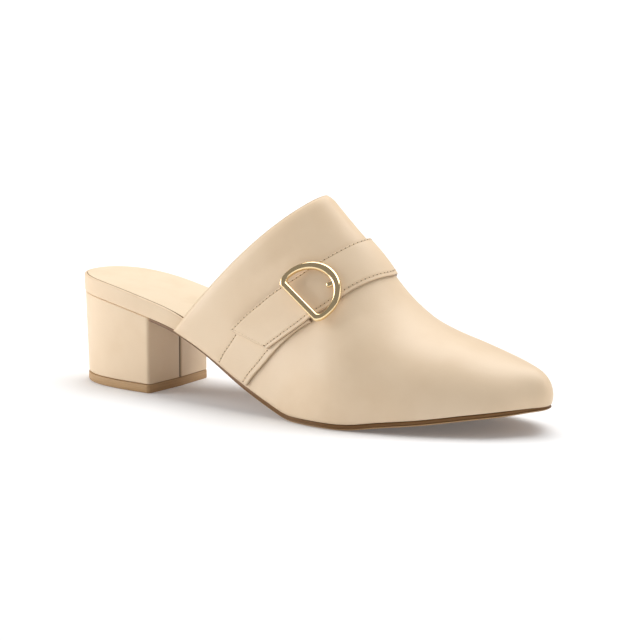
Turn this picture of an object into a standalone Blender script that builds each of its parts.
"""A block heel mule for the right foot: toe at +X, inner side at +Y, origin at the middle of the heel's tread."""

import bmesh
import bpy
import numpy as np

for old in list(bpy.data.objects):
    bpy.data.objects.remove(old, do_unlink=True)

# Named sizes, in metres.
LENGTH = 0.2635
BALL_WIDTH = 0.0746
SEAT_HEIGHT = 0.0454
INSTEP_HEIGHT = 0.1036
BACK = -0.029
WALL = 0.0018
SOLE = 0.0026
BOARD = 0.0078
SOCK = 0.0012
SOCK_INSET = 0.0015
STRAP = 0.0012
GAP = 0.0003
EASE = 0.0030
HEEL_SHARE = 0.2087
LIFT = 0.0043
LATERAL_END = 0.2750
MEDIAL_END = 0.281
BREAST_NOSE = 0.0012
RING_SPAN = 0.0293
RING_RISE = 0.0198
RING_SHOULDER = 0.24
RING_CORNER = 0.0023
RING_BAR = 0.0035
RING_ARC = 0.0042
RING_END = 0.0029
RING_THICKNESS = 0.0027

# The last's outline from above: share of the length from the back, then outer and inner sides as shares of the ball.
OUTLINE = np.array([
    [0.0114, -0.139, 0.141],
    [0.0266, -0.199, 0.201],
    [0.049, -0.254, 0.254],
    [0.080, -0.296, 0.295],
    [0.110, -0.317, 0.317],
    [0.148, -0.331, 0.331],
    [0.209, -0.339, 0.334],
    [0.308, -0.352, 0.323],
    [0.407, -0.374, 0.300],
    [0.506, -0.430, 0.312],
    [0.585, -0.500, 0.362],
    [0.664, -0.528, 0.448],
    [0.743, -0.475, 0.485],
    [0.822, -0.394, 0.477],
    [0.901, -0.259, 0.425],
    [0.956, -0.131, 0.347],
    [0.988, 0.026, 0.220],
])
TIP_Y = 0.088

# The insole board's underside: share of the length, share of the seat height.
PROFILE = np.array([
    [-0.020, 1.058],
    [0.011, 1.053],
    [0.110, 0.997],
    [0.209, 0.884],
    [0.278, 0.781],
    [0.348, 0.610],
    [0.427, 0.378],
    [0.506, 0.195],
    [0.565, 0.092],
    [0.620, 0.028],
    [0.670, 0.062],
    [0.743, 0.141],
    [0.822, 0.203],
    [0.911, 0.282],
    [1.000, 0.351],
    [1.030, 0.374],
])

# The instep ridge from the toe back to the collar: shares of the length, the instep height and the ball width.
RIDGE = np.array([
    [0.9503, 0.293, 0.140],
    [0.8995, 0.328, 0.106],
    [0.8398, 0.375, 0.073],
    [0.7811, 0.423, 0.058],
    [0.7171, 0.531, 0.049],
    [0.6604, 0.716, 0.023],
    [0.6140, 0.838, 0.000],
    [0.5470, 0.997, 0.000],
])
# How much a rib swells beyond a plain quarter ellipse: place from toe to collar, share of the ball width.
FULLNESS = np.array([[0.0, 0.022], [0.3, 0.031], [0.6, 0.036], [1.0, 0.022]])
BOW = -0.050
NOSE = 0.020

# The board's thickness: share of the length, share of its thickness at the heel.
BAND = np.array([[-0.02, 1.0], [0.15, 1.0], [0.30, 0.96], [0.45, 0.62], [0.60, 0.5], [1.03, 0.5]])
# How far the outsole stands out from the last: share of the length, share of the upper's wall.
WELT = np.array([[0.0, -0.2], [0.20, -0.2], [0.32, 0.1], [0.44, 0.85], [0.60, 0.9], [1.0, 0.9]])
# The outsole's thickness: share of the length, share of its thickness at the ball.
TAPER = np.array([[0.0, 0.55], [0.26, 0.55], [0.36, 0.68], [0.46, 0.94], [0.52, 1.0], [1.0, 1.0]])

# Strap edges on the upper: place across (0 outer feather, 1 inner feather), then rear and front edges (0 toe, 1 collar).
TAB_EDGES = np.array([
    [0.006, 0.859, 0.765],
    [0.030, 0.861, 0.760],
    [0.055, 0.860, 0.750],
    [0.085, 0.860, 0.739],
    [0.110, 0.856, 0.729],
    [0.140, 0.847, 0.714],
    [0.170, 0.837, 0.696],
    [0.205, 0.823, 0.668],
])
STRAP_EDGES = np.array([
    [0.076, 0.872, 0.765],
    [0.100, 0.866, 0.750],
    [0.128, 0.858, 0.730],
    [0.154, 0.848, 0.711],
    [0.179, 0.840, 0.693],
    [0.203, 0.830, 0.679],
    [0.255, 0.812, 0.654],
    [0.310, 0.797, 0.638],
    [0.360, 0.786, 0.628],
    [0.425, 0.779, 0.619],
    [0.500, 0.775, 0.614],
    [0.575, 0.779, 0.619],
    [0.640, 0.786, 0.628],
    [0.690, 0.797, 0.638],
    [0.745, 0.812, 0.654],
    [0.797, 0.830, 0.679],
    [0.850, 0.846, 0.712],
    [0.915, 0.862, 0.748],
    [0.985, 0.870, 0.777],
])
STRAP_SLANT = 0.022

# The ring's bar stands over this place on the strap, its plane turned about the bar, across it and in itself.
RING_SEAT = (0.726, 0.2173)
RING_TILT = -0.238
RING_ROLL = 0.0645
RING_TURN = 0.028


def spline(table, at):
    """The table's other columns at these values of its first, by a natural cubic."""
    knots, values = table[:, 0], table[:, 1:]
    count = len(knots)
    step = np.diff(knots)
    rise = np.diff(values, axis=0) / step[:, None]
    system = np.eye(count)
    right = np.zeros_like(values)
    for i in range(1, count - 1):
        system[i, i - 1 : i + 2] = step[i - 1], 2 * (step[i - 1] + step[i]), step[i]
        right[i] = 6 * (rise[i] - rise[i - 1])
    bend = np.linalg.solve(system, right)
    at = np.asarray(at, float)
    i = np.clip(np.searchsorted(knots, at, side="right") - 1, 0, count - 2)
    width = step[i][..., None]
    done = (at - knots[i])[..., None]
    left = width - done
    curve = (bend[i] * left**3 + bend[i + 1] * done**3) / (6 * width)
    line = values[i] * left / width + values[i + 1] * done / width
    sag = width * (bend[i] * left + bend[i + 1] * done) / 6
    return curve + line - sag


def share(x):
    return (np.asarray(x) - BACK) / LENGTH


def board_under(x):
    """Height of the insole board's underside: level over the ball, and eased into its two slopes."""
    over = np.maximum(SEAT_HEIGHT * spline(PROFILE, share(x))[..., 0] - SOLE - GAP, 0)
    eased = np.where(over < EASE, over**2 / (2 * EASE), over - EASE / 2)
    return SOLE + GAP + eased


def board_top(x):
    return board_under(x) + BOARD * np.interp(share(x), BAND[:, 0], BAND[:, 1])


# The outline as one closed curve by arc length, from the toe tip along the outer side to the back and home.
outer_side = np.stack([BACK + LENGTH * OUTLINE[:, 0], BALL_WIDTH * OUTLINE[:, 1]], 1)[::-1]
inner_side = np.stack([BACK + LENGTH * OUTLINE[:, 0], BALL_WIDTH * OUTLINE[:, 2]], 1)
tip = np.array([[BACK + LENGTH, BALL_WIDTH * TIP_Y]])
ring_points = np.concatenate([tip, outer_side, [[BACK, 0.0]], inner_side])
wrapped = np.concatenate([ring_points[-4:], ring_points, ring_points[:5]])
chord = np.concatenate([[0.0], np.cumsum(np.linalg.norm(np.diff(wrapped, axis=0), axis=1))])
closed = spline(np.column_stack([chord, wrapped]), np.linspace(chord[4], chord[-5], 2001))
arc = np.concatenate([[0.0], np.cumsum(np.linalg.norm(np.diff(closed, axis=0), axis=1))])
back_arc = arc[closed[:, 0].argmin()]


def outline(at, outset=0.0):
    """Points of the outline at these arc lengths, moved outward, and its outward direction there."""
    at = np.asarray(at, float)
    place = [np.interp(at % arc[-1], arc, closed[:, k]) for k in (0, 1)]
    ahead = [np.interp((at + 4e-4) % arc[-1], arc, closed[:, k]) for k in (0, 1)]
    behind = [np.interp((at - 4e-4) % arc[-1], arc, closed[:, k]) for k in (0, 1)]
    way = np.stack(ahead, -1) - np.stack(behind, -1)
    way = way / np.linalg.norm(way, axis=-1, keepdims=True)
    outward = np.stack([-way[..., 1], way[..., 0]], -1)
    return np.stack(place, -1) + outward * np.asarray(outset)[..., None], outward


def arc_of(x, inner):
    """Arc length at which one side of the outline passes this x."""
    on_side = arc > back_arc if inner else arc < back_arc
    if inner:
        return np.interp(x, closed[on_side, 0], arc[on_side])
    return np.interp(-x, -closed[on_side, 0], arc[on_side])


ridge_step = np.linalg.norm(np.diff(RIDGE[:, :2] * [LENGTH, INSTEP_HEIGHT], axis=0), axis=1)
ridge_table = np.column_stack([np.concatenate([[0.0], np.cumsum(ridge_step)]) / ridge_step.sum(), RIDGE])


def ridge(q):
    found = spline(ridge_table, q) * [LENGTH, INSTEP_HEIGHT, BALL_WIDTH]
    return np.stack([BACK + found[..., 0], found[..., 2], found[..., 1]], -1)


def last_skin(q, t):
    """Point on the last: q runs from the toe (0) to the collar (1), t over the foot from outer to inner feather."""
    q, t = np.broadcast_arrays(np.asarray(q, float), np.asarray(t, float))
    inner = t > 0.5
    turn = np.pi * np.minimum(t, 1 - t)
    outer_arc = q * arc_of(BACK + LATERAL_END * LENGTH, False)
    inner_arc = arc[-1] - q * (arc[-1] - arc_of(BACK + MEDIAL_END * LENGTH, True))
    foot, outward = outline(np.where(inner, inner_arc, outer_arc))
    top = ridge(q)
    reach = top - np.concatenate([foot, board_under(foot[..., :1])], -1)
    slope_ends = ridge(np.minimum(q + 1e-3, 1)) - ridge(np.maximum(q - 1e-3, 0))
    slope = slope_ends[..., 2] / slope_ends[..., 0]
    across = 1 - np.cos(turn)
    rise = np.sin(turn)
    fan = (1 - q) ** 3
    shear = slope * fan * reach[..., 0]
    swell = BALL_WIDTH * (spline(FULLNESS, q)[..., 0] + NOSE * np.exp(-((q / 0.08) ** 2)))
    swell = swell * np.sin(2 * turn) * np.cos(turn)
    bow = BOW * BALL_WIDTH * q * np.sin(2 * turn) * np.cos(turn)
    x = foot[..., 0] + reach[..., 0] * (fan * across + (1 - fan) * rise) + bow + swell * outward[..., 0]
    y = foot[..., 1] + reach[..., 1] * across + swell * outward[..., 1]
    z = board_under(foot[..., 0]) + (reach[..., 2] - shear) * rise + shear * across + swell * rise
    return np.stack([x, y, z], -1)


def skin(q, t, out):
    """Point at this distance outside the last, away from the toe's end."""
    q, t = np.broadcast_arrays(np.asarray(q, float), np.asarray(t, float))
    along = last_skin(np.minimum(q + 2e-3, 1), t) - last_skin(np.maximum(q - 2e-3, 0), t)
    over = last_skin(q, np.minimum(t + 2e-3, 1)) - last_skin(q, np.maximum(t - 2e-3, 0))
    normal = np.cross(over, along)
    normal = normal / np.linalg.norm(normal, axis=-1, keepdims=True)
    return last_skin(q, t) + normal * np.asarray(out)[..., None]


def grid_faces(index):
    return np.stack([index[:-1, :-1], index[1:, :-1], index[1:, 1:], index[:-1, 1:]], -1).reshape(-1, 4)


def add_part(name, points, faces, colour, roughness, metallic=0.0):
    """One closed object from these points and faces, with coincident points joined and faces turned outward."""
    mesh = bpy.data.meshes.new(name)
    mesh.from_pydata(np.asarray(points).tolist(), [], [list(face) for face in faces])
    work = bmesh.new()
    work.from_mesh(mesh)
    bmesh.ops.remove_doubles(work, verts=work.verts, dist=2e-6)
    bmesh.ops.delete(work, geom=[vert for vert in work.verts if not vert.link_faces], context="VERTS")
    bmesh.ops.recalc_face_normals(work, faces=work.faces)
    work.to_mesh(mesh)
    work.free()
    obj = bpy.data.objects.new(name, mesh)
    bpy.context.scene.collection.objects.link(obj)
    material = bpy.data.materials.new(name)
    material.use_nodes = True
    shader = material.node_tree.nodes["Principled BSDF"]
    shader.inputs["Base Color"].default_value = (*colour, 1.0)
    shader.inputs["Roughness"].default_value = roughness
    shader.inputs["Metallic"].default_value = metallic
    mesh.materials.append(material)
    return obj


LEATHER = (0.80, 0.65, 0.47)


def loop_of(index):
    return np.concatenate([index[:-1, 0], index[-1, :-1], index[:0:-1, -1], index[0, :0:-1]])


def slab(name, layers, columns, colour, roughness, nose=0.0):
    """A flat-lying solid: each layer is its outer edge, its inner edge and its height as a function of x.

    Its first row may push forward in the middle by `nose`."""
    points, faces, loops = [], [], []
    shares = np.linspace(0, 1, columns)[None, :, None]
    for number, (outer_edge, inner_edge, height) in enumerate(layers):
        plan = outer_edge[:, None] * (1 - shares) + inner_edge[:, None] * shares
        near = np.exp(-(((plan[..., 0] - plan[:1, :, 0]) / 0.004) ** 2))
        plan[..., 0] += nose * (1 - np.abs(2 * shares[..., 0] - 1)) * near
        index = len(points) * plan.shape[0] * columns + np.arange(plan.shape[0] * columns).reshape(-1, columns)
        level = height(plan[..., 0])
        points.append(np.concatenate([plan, level[..., None]], -1).reshape(-1, 3))
        loops.append(loop_of(index))
        if number in (0, len(layers) - 1):
            faces.extend(grid_faces(index))
    for low, high in zip(loops[:-1], loops[1:]):
        faces.extend(np.stack([low, np.roll(low, -1), np.roll(high, -1), high], -1))
    return add_part(name, np.concatenate(points), faces, colour, roughness)


def inset_edges(outer_edge, inner_edge, by):
    """The same two edges moved inward in plan by this much."""
    line = np.concatenate([outer_edge, inner_edge[-2::-1]])
    way = np.gradient(line, axis=0)
    way[0] = way[-1] = way[1] + way[-2]
    way = way / np.linalg.norm(way, axis=1, keepdims=True)
    moved = line + np.stack([way[:, 1], -way[:, 0]], -1) * by
    moved[0] = moved[-1] = (moved[0] + moved[-1]) / 2
    return moved[: len(outer_edge)], moved[: len(outer_edge) - 2 : -1]


def inside_edges(height):
    """Edges of a layer that follows the last's own side under the upper and the outline behind it."""
    sides = []
    q = (1 - np.cos(np.linspace(0, np.pi, 30))) / 2 * 0.999
    for inner in (False, True):
        turn = np.linspace(0, 0.20, 60)
        t = 1 - turn if inner else turn
        rib = last_skin(q[:, None], t[None])
        over = rib[..., 2] - height(rib[..., 0])
        above = np.maximum((over >= 0).argmax(axis=1), 1)
        rows = np.arange(len(q))
        part = over[rows, above - 1] / (over[rows, above - 1] - over[rows, above])
        part = np.clip(part, 0, 1)[:, None]
        covered = rib[rows, above - 1, :2] * (1 - part) + rib[rows, above, :2] * part
        first = arc_of(covered[-1, 0] - 0.003, inner)
        bare, _ = outline(first + (back_arc - first) * np.linspace(0, 1, 18) ** 0.9)
        sides.append(np.concatenate([covered, bare]))
    sides[0][0] = sides[1][0] = (sides[0][0] + sides[1][0]) / 2
    sides[0][-1] = sides[1][-1] = (sides[0][-1] + sides[1][-1]) / 2
    return sides


# Insole board, wrapped in leather, with its rounded lip.
lip = 0.0009
low_edges = inside_edges(board_under)
high_edges = inside_edges(board_top)
slab(
    "platform",
    [
        (*inset_edges(*low_edges, 0.6 * lip), board_under),
        (*inset_edges(*low_edges, 0.5 * GAP), lambda x: board_under(x) + 0.5 * lip),
        (*inset_edges(*high_edges, 0.5 * GAP), lambda x: board_top(x) - lip),
        (*inset_edges(*high_edges, 0.5 * lip), lambda x: board_top(x) - 0.3 * lip),
        (*inset_edges(*high_edges, 1.2 * lip), board_top),
    ],
    7,
    LEATHER,
    0.5,
)

# Sock lining on the board.
sock_edges = inside_edges(lambda x: board_top(x) + GAP + SOCK)
slab(
    "sock",
    [
        (*inset_edges(*sock_edges, SOCK_INSET), lambda x: board_top(x) + GAP),
        (*inset_edges(*sock_edges, SOCK_INSET), lambda x: board_top(x) + GAP + 0.6 * SOCK),
        (*inset_edges(*sock_edges, SOCK_INSET + 0.4 * SOCK), lambda x: board_top(x) + GAP + SOCK),
    ],
    7,
    (0.83, 0.70, 0.52),
    0.55,
)


def sole_edges(extra):
    """Edges of the outsole from the heel's breast to the toe tip."""
    sides = []
    for inner in (False, True):
        end = arc_of(BACK + HEEL_SHARE * LENGTH + 0.0006, inner)
        start = arc[-1] if inner else 0.0
        at = start + (end - start) * (1 - np.cos(np.linspace(0, np.pi, 44))) / 2
        x = np.interp(at, arc, closed[:, 0])
        welt = WALL * np.interp(share(x), WELT[:, 0], WELT[:, 1])
        plan, _ = outline(at, welt + extra)
        plan[-1, 0] = BACK + HEEL_SHARE * LENGTH + 0.0006
        sides.append(plan[::-1])
    sides[0][-1] = sides[1][-1] = (sides[0][-1] + sides[1][-1]) / 2
    return sides


def sole_under(x, up):
    """Height in the outsole at this share of its thickness above the tread."""
    thickness = SOLE * np.interp(share(x), TAPER[:, 0], TAPER[:, 1])
    return board_under(x) - GAP - thickness * (1 - up)


slab(
    "outsole",
    [
        (*sole_edges(-0.0012), lambda x: sole_under(x, 0.0)),
        (*sole_edges(0.0), lambda x: sole_under(x, 0.28)),
        (*sole_edges(0.0), lambda x: sole_under(x, 0.85)),
        (*sole_edges(-0.0004), lambda x: sole_under(x, 1.0)),
    ],
    7,
    (0.28, 0.15, 0.06),
    0.5,
    BREAST_NOSE,
)

# Block heel: the outline behind the breast, drawn in a little towards the floor, with small rounded breast corners.
CORNER = 0.0016


def heel_edges(down, grow=0.0):
    """Edges of the heel at this share of the way down from the board to the floor."""
    front = BACK + HEEL_SHARE * LENGTH
    sides = []
    for inner in (False, True):
        first = arc_of(front - CORNER, inner)
        plan, _ = outline(first + (back_arc - first) * np.linspace(0, 1, 22) ** 0.85)
        sign = 1 if inner else -1
        bend = np.linspace(0, np.pi / 2, 5)[:-1]
        half = abs(plan[0, 1])
        corner = np.stack([front - CORNER * (1 - np.cos(bend)), sign * (half - CORNER * (1 - np.sin(bend)))], -1)
        plan = np.concatenate([corner, plan])
        plan[:, 0] = front - (front - plan[:, 0]) * (1 - 0.011 - 0.031 * down)
        plan[:, 1] = plan[:, 1] * (1 - 0.018 - 0.006 * down)
        plan[:, 1] += sign * grow * np.clip(np.abs(plan[:, 1]) / half, 0, 1)
        plan[:, 0] -= grow * np.clip((front - plan[:, 0]) / 0.02, 0, 1)
        sides.append(plan)
    sides[0][-1] = sides[1][-1] = (sides[0][-1] + sides[1][-1]) / 2
    return sides


def seat(x):
    return board_under(x) - GAP


def between(down):
    return lambda x: (LIFT + GAP) * down + seat(x) * (1 - down)


slab(
    "heel_block",
    [(*heel_edges(down), between(down)) for down in (1.0, 0.5, 0.0)],
    7,
    LEATHER,
    0.5,
    BREAST_NOSE,
)
slab(
    "top_lift",
    [
        (*heel_edges(1.0, -0.0004), lambda x: 0.0 * x),
        (*heel_edges(1.0, 0.0002), lambda x: 0.0 * x + 0.0005),
        (*heel_edges(1.0, 0.0002), lambda x: 0.0 * x + LIFT - 0.0003),
        (*heel_edges(1.0, -0.0002), lambda x: 0.0 * x + LIFT),
    ],
    7,
    (0.26, 0.15, 0.06),
    0.55,
    BREAST_NOSE,
)


def upper_shell():
    """The upper between its lining face and its outer face, open behind and underneath."""
    rows, columns = 32, 28
    q = np.linspace(0, 1, rows) ** 1.15
    t = np.linspace(0, 1, columns + 1)
    middle = last_skin(q[:, None], t[None])
    index = np.arange(rows * (columns + 1)).reshape(rows, -1)
    index[0] = np.minimum(index[0], index[0][::-1])
    sheet = bpy.data.meshes.new("sheet")
    sheet.from_pydata(middle.reshape(-1, 3).tolist(), [], grid_faces(index).tolist())
    sheet.update()
    normals = np.array([vertex.normal for vertex in sheet.vertices]).reshape(rows, -1, 3)
    bpy.data.meshes.remove(sheet)
    normals[0] = normals[0, np.minimum(np.arange(columns + 1), columns - np.arange(columns + 1))]
    if (normals[rows // 2, columns // 2, 2]) < 0:
        normals = -normals
    back_way = middle[-1] - middle[-2]
    back_way = back_way / np.linalg.norm(back_way, axis=-1, keepdims=True)
    layers = []
    for out in (GAP, GAP + WALL):
        points = middle + normals * out
        for side in (0, -1):
            points[:, side, 2] = board_under(points[:, side, 0])
        layers.append(points)
    edge = (layers[0][-1] + layers[1][-1]) / 2 + back_way * 0.35 * WALL
    edge[[0, -1], 2] = board_under(edge[[0, -1], 0])
    count = rows * (columns + 1)
    points = np.concatenate([layers[0].reshape(-1, 3), layers[1].reshape(-1, 3), edge])
    inside, outside = index, index + count
    brim = 2 * count + np.arange(columns + 1)
    faces = list(grid_faces(inside)) + list(grid_faces(outside))
    for side in (0, -1):
        faces += list(grid_faces(np.stack([inside[:, side], outside[:, side]], 1)))
        faces.append([inside[-1, side], brim[side], outside[-1, side]])
    faces += list(grid_faces(np.stack([inside[-1], brim], 1)))
    faces += list(grid_faces(np.stack([brim, outside[-1]], 1)))
    return add_part("upper", points, faces, LEATHER, 0.45)


upper_shell()


def band(name, edges, slant, lift, rows, columns):
    """A strip of leather on the upper between two edges, `lift` outside the upper's face as a function of t."""
    across = np.array([0.0, *np.linspace(0.03, 0.97, columns - 2), 1.0])
    t = np.linspace(edges[0, 0], edges[-1, 0], rows)[:, None]
    t = t + slant * across * np.linspace(1, 0, rows)[:, None]
    ends = spline(edges, t)
    q = ends[..., 0] * (1 - across) + ends[..., 1] * across
    base = GAP + WALL + lift(t)
    bottom = skin(q, t, base)
    drop = np.zeros_like(q)
    drop[:, [0, -1]] = 0.35 * STRAP
    top = skin(q, t, base + STRAP - drop)
    index = np.arange(q.size).reshape(q.shape)
    faces = list(grid_faces(index)) + list(grid_faces(index + q.size))
    low = loop_of(index)
    faces += list(np.stack([low, np.roll(low, -1), np.roll(low, -1) + q.size, low + q.size], -1))
    points = np.concatenate([bottom.reshape(-1, 3), top.reshape(-1, 3)])
    return add_part(name, points, faces, LEATHER, 0.45)


def over_tab(t):
    """Room under the strap: over the tab at first, then down on the upper."""
    fall = np.clip((t - 0.212) / 0.045, 0, 1)
    return GAP + (GAP + STRAP) * (1 - fall * fall * (3 - 2 * fall))


band("strap_tab", TAB_EDGES, 0.0, lambda t: GAP + 0.0 * t, 12, 7)
band("strap", STRAP_EDGES, STRAP_SLANT, over_tab, 40, 7)


def strap_face(q, t):
    return skin(q, t, GAP + WALL + over_tab(t) + STRAP)


def turned(vector, axis, angle):
    """The vector turned about a unit axis."""
    across = np.cross(axis, vector)
    return vector * np.cos(angle) + across * np.sin(angle) + axis * (axis @ vector) * (1 - np.cos(angle))


def ring_frame():
    """Middle of the bar on the strap, then the ring's directions along the bar, into the arc and outward."""
    q, t = RING_SEAT
    along = strap_face(q - 0.04, t) - strap_face(q + 0.04, t)
    along = along / np.linalg.norm(along)
    ahead = strap_face(q, t + 0.03) - strap_face(q, t - 0.03)
    ahead = ahead - along * (along @ ahead)
    ahead = ahead / np.linalg.norm(ahead)
    out = np.cross(along, ahead)
    ahead, out = turned(ahead, along, RING_TILT), turned(out, along, RING_TILT)
    along, out = turned(along, ahead, RING_ROLL), turned(out, ahead, RING_ROLL)
    along, ahead = turned(along, out, RING_TURN), turned(ahead, out, RING_TURN)
    return strap_face(q, t), along, ahead, out


def dee(side):
    """A closed D in plan: -1 is its band's inner edge, 0 the band's middle and 1 its outer edge.

    Half an ellipse, two ends drawn in to round corners, and a straight bar; the band is widest over the arc."""
    half, rise = RING_SPAN / 2, RING_RISE * (1 - RING_SHOULDER)
    turn = np.linspace(0, np.pi, 25)
    outward = np.stack([-np.cos(turn) * rise, np.sin(turn) * half], 1)
    outward = outward / np.linalg.norm(outward, axis=1, keepdims=True)
    band = RING_END + (RING_ARC - RING_END) * np.sin(turn)[:, None]
    arc_line = np.stack([-half * np.cos(turn), RING_SHOULDER * RING_RISE + rise * np.sin(turn)], 1)
    arc_line = arc_line + outward * band / 2 * side
    low = -RING_BAR / 2 * side
    first = arc_line[-1]
    last = np.array([half - RING_CORNER + side * RING_END * 0.3, low])
    pull = np.array([half + side * RING_END / 2, low + (first[1] - low) * 0.25])
    done = np.linspace(0, 1, 5)[1:, None]
    end = (1 - done) ** 2 * first + 2 * (1 - done) * done * pull + done**2 * last
    bar_a = np.linspace(last[0], -last[0], 9)[1:-1]
    bar = np.stack([bar_a, 0 * bar_a + low], 1)
    return np.concatenate([arc_line, end, bar, end[::-1] * [-1, 1]])


def d_ring():
    """The ring's band swept round a flat D that rests on the strap, with its stub pointing inward from the arc."""
    seat, along, ahead, out = ring_frame()
    # The strap's height under the band sets how far out the ring's plane lies.
    q, t = np.meshgrid(np.linspace(0.58, 0.90, 60), np.linspace(0.15, 0.40, 60), indexing="ij")
    face = (strap_face(q, t) - seat).reshape(-1, 3)
    spread = np.stack([face @ along, face @ ahead], 1)
    middle = dee(0.0)
    nearest = np.linalg.norm(spread[:, None] - middle, axis=-1).min(axis=1)
    base = (face @ out)[nearest < RING_ARC / 2 + 0.0008].max() + GAP
    section = np.array([[-0.86, 0.0], [-1, 0.3], [-0.85, 0.75], [-0.4, 1], [0.4, 1], [0.85, 0.75], [1, 0.3], [0.86, 0.0]])
    inner_line, outer_line = dee(-1.0), dee(1.0)
    part = ((section[:, 0] + 1) / 2)[None, :, None]
    plan = inner_line[:, None] * (1 - part) + outer_line[:, None] * part
    level = base + section[None, :, 1:] * RING_THICKNESS
    points = seat + plan[..., :1] * along + plan[..., 1:] * ahead + level * out
    index = np.arange(points[..., 0].size).reshape(len(plan), -1)
    index = np.pad(index, ((0, 1), (0, 1)), mode="wrap")
    ring = add_part("buckle_ring", points.reshape(-1, 3), grid_faces(index), (0.83, 0.62, 0.27), 0.15, 1.0)
    # The stub.
    at = inner_line[15] * 0.75 + outer_line[15] * 0.25
    inward = inner_line[15] - outer_line[15]
    inward = inward / np.linalg.norm(inward)
    sideways = np.array([inward[1], -inward[0]])
    reach, breadth = 0.0034, 0.00125
    plan = np.array([at + sideways * breadth, at + inward * reach + sideways * 0.7 * breadth,
                     at + inward * reach - sideways * 0.7 * breadth, at - sideways * breadth])
    low = seat + plan[:, :1] * along + plan[:, 1:] * ahead
    points = np.concatenate([low + (base + 0.0004) * out, low + (base + 0.0021) * out])
    faces = [[0, 1, 2, 3], [7, 6, 5, 4], [0, 4, 5, 1], [1, 5, 6, 2], [2, 6, 7, 3], [3, 7, 4, 0]]
    stub = add_part("stub", points, faces, (0.83, 0.62, 0.27), 0.15, 1.0)
    stub.hide_render = True
    stub.display_type = "WIRE"
    joint = ring.modifiers.new("stub", "BOOLEAN")
    joint.operation = "UNION"
    joint.solver = "EXACT"
    joint.object = stub


d_ring()
